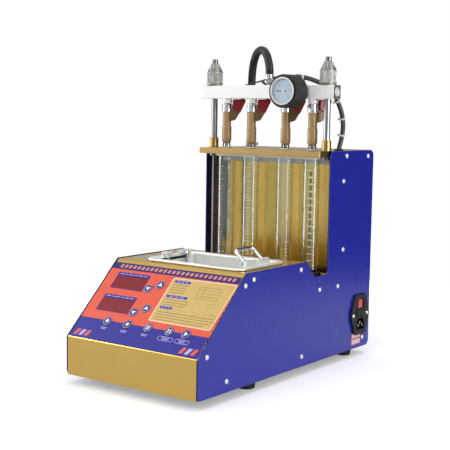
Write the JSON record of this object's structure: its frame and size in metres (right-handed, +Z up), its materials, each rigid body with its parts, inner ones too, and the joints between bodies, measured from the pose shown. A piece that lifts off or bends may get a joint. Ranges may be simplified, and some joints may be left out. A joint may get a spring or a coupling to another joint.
{
  "type": "fuel injector cleaner and tester",
  "caption": "Bench injector tester: sloped control panel, ultrasonic basin with basket, glass test tubes, and a pressure rail with gauge clamped over injectors on posts.",
  "frame": {"origin": "on the floor, under the middle of the case", "axes": "+Z up, -Y towards the user who faces the control panel, +X to that user's right"},
  "size_m": [0.224, 0.415, 0.4483],
  "materials": {
    "blue_paint": "fine-textured blue powder coat",
    "gold_sheet": "brushed gold-toned sheet",
    "gold_plate": "gold anodised edge",
    "zinc_sheet": "zinc-plated sheet",
    "rubber": "matt black rubber",
    "polished_steel": "polished rod",
    "brass": "turned brass",
    "basin_steel": "pressed stainless steel",
    "black_plastic": "moulded black plastic",
    "satin_metal": "satin nickel plate",
    "circuit_board": "green circuit board",
    "tank_plastic": "translucent white polyethylene",
    "pump_plastic": "grey moulded housing",
    "panel_film": "printed membrane film",
    "button_film": "domed printed film",
    "red_plastic": "moulded red plastic",
    "tube_glass": "clear glass tube",
    "injector_shell": "tan moulded shell",
    "rail_aluminium": "satin anodised bar",
    "gauge_enamel": "white bezel and pale dial",
    "needle_black": "matt black",
    "lens_glass": "clear flat lens"
  },
  "bodies": {
    "case": {"side_panel_left": "blue_paint", "side_panel_right": "blue_paint", "front_cover": "gold_sheet", "rear_cover": "blue_paint", "base_plate": "zinc_sheet", "foot_1": "rubber", "foot_2": "rubber", "foot_3": "rubber", "foot_4": "rubber", "top_plate": "gold_plate", "post_left": "polished_steel", "post_right": "polished_steel", "post_collar_left": "brass", "post_collar_right": "brass", "tank_basin": "basin_steel", "transducer": "satin_metal", "power_supply": "zinc_sheet", "ultrasonic_driver": "circuit_board", "control_board": "circuit_board", "reservoir": "tank_plastic", "pump": "pump_plastic", "control_film": "panel_film", "power_inlet": "black_plastic", "test_tube_1": "tube_glass", "test_tube_2": "tube_glass", "test_tube_3": "tube_glass", "test_tube_4": "tube_glass", "tube_gasket": "rubber", "plate_gasket": "rubber", "injector_1": "injector_shell", "injector_2": "injector_shell", "injector_3": "injector_shell", "injector_4": "injector_shell", "injector_harness": "black_plastic", "hose_outlet": "brass", "fuel_hose": "rubber"},
    "rail": {"rail": "rail_aluminium", "gauge_boot": "rubber", "gauge_case": "gauge_enamel", "gauge_lens": "lens_glass", "hose_fitting": "brass"},
    "needle": {"gauge_needle": "needle_black"},
    "clamp_left": {"clamp_left": "satin_metal"},
    "clamp_right": {"clamp_right": "satin_metal"},
    "sleeve_left": {"clamp_sleeve_left": "satin_metal"},
    "sleeve_right": {"clamp_sleeve_right": "satin_metal"},
    "basket": {"tank_basket": "basin_steel"},
    "bail_right": {"basket_bail_right": "polished_steel"},
    "bail_left": {"basket_bail_left": "polished_steel"},
    "upper_down": {"button_upper_down": "button_film"},
    "upper_up": {"button_upper_up": "button_film"},
    "lower_down": {"button_lower_down": "button_film"},
    "lower_up": {"button_lower_up": "button_film"},
    "drain": {"button_drain": "button_film"},
    "light": {"button_light": "button_film"},
    "mode": {"button_mode": "button_film"},
    "pause": {"button_pause": "button_film"},
    "start": {"button_start": "button_film"},
    "rocker": {"rocker_switch": "red_plastic"},
    "drawer": {"fuse_drawer": "black_plastic"}
  },
  "joints": [
    {"name": "rail_lift", "type": "slide", "parent": "case", "child": "rail", "axis": [0, 0, 1], "range_m": [0, 0.04], "deforming": ["fuel_hose"]},
    {"name": "needle_turn", "type": "hinge", "parent": "rail", "child": "needle", "pos_m": [0.051, 0.0505, 0.3825], "axis": [0, -1, 0], "range_deg": [-225, 45], "stiffness_Nm_per_rad": 0.0002},
    {"name": "clamp_left_lift", "type": "slide", "parent": "rail", "child": "clamp_left", "axis": [0, 0, 1], "range_m": [0, 0.03]},
    {"name": "clamp_right_lift", "type": "slide", "parent": "rail", "child": "clamp_right", "axis": [0, 0, 1], "range_m": [0, 0.03]},
    {"name": "sleeve_left_turn", "type": "hinge", "parent": "clamp_left", "child": "sleeve_left", "pos_m": [-0.097, 0.0895, 0.403], "axis": [0, 0, 1], "range_deg": [0, 90]},
    {"name": "sleeve_right_turn", "type": "hinge", "parent": "clamp_right", "child": "sleeve_right", "pos_m": [0.097, 0.0895, 0.403], "axis": [0, 0, 1], "range_deg": [0, 90]},
    {"name": "basket_lift", "type": "slide", "parent": "case", "child": "basket", "axis": [0, 0, 1], "range_m": [0, 0.075]},
    {"name": "bail_right_fold", "type": "hinge", "parent": "basket", "child": "bail_right", "pos_m": [0.079, -0.054, 0.16], "axis": [0, 1, 0], "range_deg": [-132, 54]},
    {"name": "bail_left_raise", "type": "hinge", "parent": "basket", "child": "bail_left", "pos_m": [-0.049, -0.054, 0.16], "axis": [0, 1, 0], "range_deg": [-186, 0]},
    {"name": "press_upper_down", "type": "slide", "parent": "case", "child": "upper_down", "axis": [0, 0.6919, -0.722], "range_m": [0, 0.0005], "stiffness_N_per_m": 400, "springref_m": -0.0005},
    {"name": "press_upper_up", "type": "slide", "parent": "case", "child": "upper_up", "axis": [0, 0.6919, -0.722], "range_m": [0, 0.0005], "stiffness_N_per_m": 400, "springref_m": -0.0005},
    {"name": "press_lower_down", "type": "slide", "parent": "case", "child": "lower_down", "axis": [0, 0.6919, -0.722], "range_m": [0, 0.0005], "stiffness_N_per_m": 400, "springref_m": -0.0005},
    {"name": "press_lower_up", "type": "slide", "parent": "case", "child": "lower_up", "axis": [0, 0.6919, -0.722], "range_m": [0, 0.0005], "stiffness_N_per_m": 400, "springref_m": -0.0005},
    {"name": "press_drain", "type": "slide", "parent": "case", "child": "drain", "axis": [0, 0.6919, -0.722], "range_m": [0, 0.0005], "stiffness_N_per_m": 400, "springref_m": -0.0005},
    {"name": "press_light", "type": "slide", "parent": "case", "child": "light", "axis": [0, 0.6919, -0.722], "range_m": [0, 0.0005], "stiffness_N_per_m": 400, "springref_m": -0.0005},
    {"name": "press_mode", "type": "slide", "parent": "case", "child": "mode", "axis": [0, 0.6919, -0.722], "range_m": [0, 0.0005], "stiffness_N_per_m": 400, "springref_m": -0.0005},
    {"name": "press_pause", "type": "slide", "parent": "case", "child": "pause", "axis": [0, 0.6919, -0.722], "range_m": [0, 0.0005], "stiffness_N_per_m": 400, "springref_m": -0.0005},
    {"name": "press_start", "type": "slide", "parent": "case", "child": "start", "axis": [0, 0.6919, -0.722], "range_m": [0, 0.0005], "stiffness_N_per_m": 400, "springref_m": -0.0005},
    {"name": "switch_rock", "type": "hinge", "parent": "case", "child": "rocker", "pos_m": [0.1054, 0.176, 0.078], "axis": [0, 0, 1], "range_deg": [-18, 0]},
    {"name": "drawer_pull", "type": "slide", "parent": "case", "child": "drawer", "axis": [1, 0, 0], "range_m": [0, 0.02]}
  ]
}
